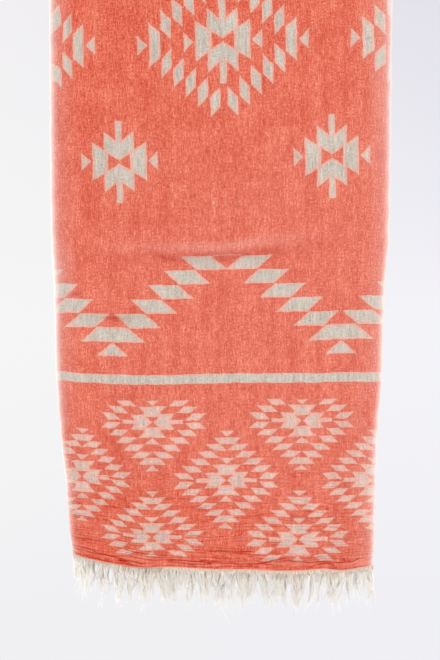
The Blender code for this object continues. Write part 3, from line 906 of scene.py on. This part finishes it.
def makeFringe(name, front, material):
    rng = random.Random(23 + front)
    curve = bpy.data.curves.new(name, "CURVE")
    curve.dimensions = "3D"
    curve.bevel_depth = fringe["radius"]
    curve.bevel_resolution = 0
    curve.use_fill_caps = False
    curve.materials.append(material)
    tones, acrossShares = [], []
    pitch = towel["width"] / fringe["locks"]
    last = fringe["points"] - 1
    lowest = cadLow.z + 0.001
    most = halfWidth - fringe["fromSelvedge"]
    sideReach = [hemPoint(side * halfWidth / 2, front, 0).x for side in (-1, 1)]
    for lock in range(fringe["locks"]):
        middle = -halfWidth + pitch * (lock + 0.5 + rng.uniform(-fringe["lockAside"], fringe["lockAside"]))
        heart = hemPoint(middle, front, headerHigh(middle, front) - 0.001)
        lockLong = rng.triangular(fringe["short"], fringe["long"], fringe["usual"])
        if rng.random() < fringe["longShare"]:
            lockLong = rng.uniform(fringe["long"], fringe["longest"])
        lean, out = rng.gauss(0, fringe["lean"]), rng.gauss(0, fringe["leanOut"])
        lean += fringe["flock"] * wander(heart.x / fringe["flockWide"], 0.0, 2.0)
        twist = rng.choice([-1, 1]) * rng.uniform(*fringe["twistShare"]) * fringe["twist"]
        waves = [(fringe["wave"] * rng.uniform(*fringe["waveShare"]), rng.uniform(*fringe["waveLength"]),
                  rng.uniform(0, 6.3)) for _ in range(2)]
        lockTone = rng.uniform(0, 1)
        for yarn in range(fringe["yarns"]):
            share = (yarn + rng.uniform(0.2, 0.8)) / fringe["yarns"] - 0.5
            flat = min(max(middle + share * pitch * fringe["overlap"], -most), most)
            root = hemPoint(flat, front, headerHigh(flat, front) * rng.uniform(*fringe["rootHigh"]))
            root.y += front * fringe["rootOut"]
            long = lockLong * rng.uniform(*fringe["yarnShare"])
            isStray = rng.random() < fringe["stray"]
            away = rng.gauss(0, fringe["strayLean" if isStray else "away"])
            gather = fringe["gather"] * rng.uniform(*fringe["gatherShare"])
            angle, wide = rng.uniform(0, 6.3), fringe["thick"] * math.sqrt(rng.random())
            phase = rng.gauss(0, fringe["strayPhase" if isStray else "phase"])
            stout = rng.uniform(*fringe["stout"])
            roam = rng.uniform(*fringe["roam"])
            spline = curve.splines.new("POLY")
            spline.points.add(last)
            for k, point in enumerate(spline.points):
                t = k / last
                down = long * t
                turn = angle + twist * down
                sway = sum(high * (math.sin(math.tau * down / per + start + phase) - math.sin(start + phase))
                           for high, per, start in waves)
                thin = wide * (1 - fringe["slimmer"] * smoothStep(t, 0.2, 0.8))
                spot = heart + Vector((lean * down + sway + thin * math.cos(turn),
                                       out * down + thin * math.sin(turn), 0))
                spot = root.lerp(spot, smoothStep(down, 0.0, gather))
                spot.x += away * max(down - 0.5 * gather, 0)
                spot.x = min(max(spot.x, sideReach[0] - roam * down), sideReach[1] + roam * down)
                spot.z = max(root.z - down * (1 - fringe["tipSlack"] * t), lowest)
                point.co = (*spot, 1.0)
                point.radius = stout * (1.0 - fringe["thinner"] * t * t) + fringe["rootStout"] * (k == 0)
            tones.append((1 - fringe["ownTone"]) * lockTone + rng.uniform(0, fringe["ownTone"]))
            acrossShares.append(flat / towel["width"] + 0.5)
    piece = applied(addObject(name, curve))
    mesh = piece.data
    mesh.shade_smooth()
    count = len(tones)
    perYarn = len(mesh.vertices) // count
    along = np.tile(np.repeat(np.linspace(0, 1, fringe["points"]), perYarn // fringe["points"]), count)
    values = np.stack([np.repeat(tones, perYarn), along, np.zeros(len(along))], 1)
    layer = mesh.attributes.new("yarn", "FLOAT_VECTOR", "POINT")
    layer.data.foreach_set("vector", values.astype(np.float32).ravel())
    places = np.stack([np.repeat(acrossShares, perYarn), along], 1)[readOff(mesh.loops, "vertex_index")]
    giveMap(mesh, places * 0.99 + 0.005)
    print(name + ":", count, "yarns,", len(mesh.polygons), "faces")
    return piece


print("weaving the cloth")
towelCloth = makeCloth(clothMaterial("Coral and natural double-woven cotton", False),
                       clothMaterial("Reverse of the double-woven cotton", True))
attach(towelCloth, "root")
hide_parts("towel_cloth")

print("drawing out the fringes")
ribbed = headerMaterial()
undyed = yarnMaterial()
for word, front in (("front", -1), ("back", 1)):
    strip = makeHeader(word + "Header", front, ribbed)
    yarns = makeFringe(word + "Fringe", front, undyed)
    for piece in (strip, yarns):
        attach(piece, "root")
        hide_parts(word + "_fringe")

studio = {
    "floorDrop": 0.37, "floorRadius": 0.85, "floor": ("EAE9EC", "EEEDF0"),
    "lens": 100.0, "distance": 2.6, "pitch": 8.0, "targetAboveHem": 0.3487,
    # the backdrop at the left and right, high, in the middle and low, and where one passes into the next
    "high": ("F2F0F2", "E3E1EA"), "mid": ("F6F6F6", "F4F3F8"), "low": ("F0F0F2", "F0EFF4"),
    "acrossFrom": (-0.12, 0.12), "highFrom": (-0.13, 0.04), "lowFrom": (-0.15, -0.29),
    "light": "F4F4F8", "lightStrength": 0.65,
}
# each light's place, what it points at (None is what the camera looks at), its size and its power
lights = {
    "keyLight": ((-0.3, -3.2, 1.8), None, (1.1, 1.1), 66),
    "fillLight": ((1.1, -2.3, -1.1), None, (1.2, 1.4), 20),
    "leftEdgeLight": ((-1.2, 0.35, -0.5), (-0.24, 0, -0.5), (0.4, 1.4), 11),
    "rightEdgeLight": ((1.2, 0.35, -0.5), (0.24, 0, -0.5), (0.4, 1.4), 6),
}


def makeFloor():   # painted board, faintly cloudy and matt
    material = bpy.data.materials.new("Pale floor")
    put = emptied(material)
    cloudy = put("TexNoise", vector=put("TexCoord").outputs["Object"], scale=6.0, detail=4.0)
    colour = put("Mix RGBA", cloudy, *map(fromHex, studio["floor"]))
    put("OutputMaterial", surface=put("BsdfPrincipled", baseColor=colour, roughness=0.8))
    bm = bmesh.new()
    bmesh.ops.create_circle(bm, cap_ends=True, radius=studio["floorRadius"], segments=96)
    bmesh.ops.translate(bm, verts=bm.verts, vec=(0, 0, cadLow.z - studio["floorDrop"]))
    addPiece(bm, "floor", material)


def aimedAt(thing, spot, target):
    thing.location = spot
    thing.rotation_euler = (Vector(target) - Vector(spot)).to_track_quat("-Z", "Y").to_euler()


def makeWorld():
    world = bpy.data.worlds.new("Pale studio")
    bpy.context.scene.world = world
    put = emptied(world)
    x, _, z = put("SeparateXYZ", put("TexCoord").outputs["Generated"]).outputs
    side = put("MapRange", x, *studio["acrossFrom"])
    high, mid, low = [put("Mix RGBA", side, *map(fromHex, studio[part])) for part in ("high", "mid", "low")]
    seen = put("Mix RGBA", put("MapRange", z, *studio["highFrom"]), mid, high)
    seen = put("Mix RGBA", put("MapRange", z, *studio["lowFrom"]), seen, low)
    lit = put("Background", color=fromHex(studio["light"]), strength=studio["lightStrength"])
    shown = put("Background", color=seen, strength=1.0)
    put("OutputWorld", surface=put("MixShader", put("LightPath").outputs["Is Camera Ray"], lit, shown))


def makeCamera():
    pitch = math.radians(studio["pitch"])
    hemZ = bendAxisZ - (halfLength - bendLength)
    faceY = -(bendRadius + towel["halfGap"] + towel["spreadAtHem"] / 2)
    target = Vector((0, faceY, hemZ + studio["targetAboveHem"]))
    lens = bpy.data.cameras.new("camera")
    lens.lens = studio["lens"]
    lens.sensor_width = 36.0
    camera = addObject("camera", lens)
    aimedAt(camera, target + Vector((0, -math.cos(pitch), math.sin(pitch))) * studio["distance"], target)
    bpy.context.scene.camera = camera
    return target


print("setting up the studio")
bpy.context.scene.view_settings.view_transform = "Standard"
makeFloor()
makeWorld()
middle = makeCamera()
for name, (spot, target, size, power) in lights.items():
    lamp = bpy.data.lights.new(name, "AREA")
    lamp.shape = "RECTANGLE"
    lamp.size, lamp.size_y = size
    lamp.energy = power
    aimedAt(addObject(name, lamp), spot, target or middle)

print("done")
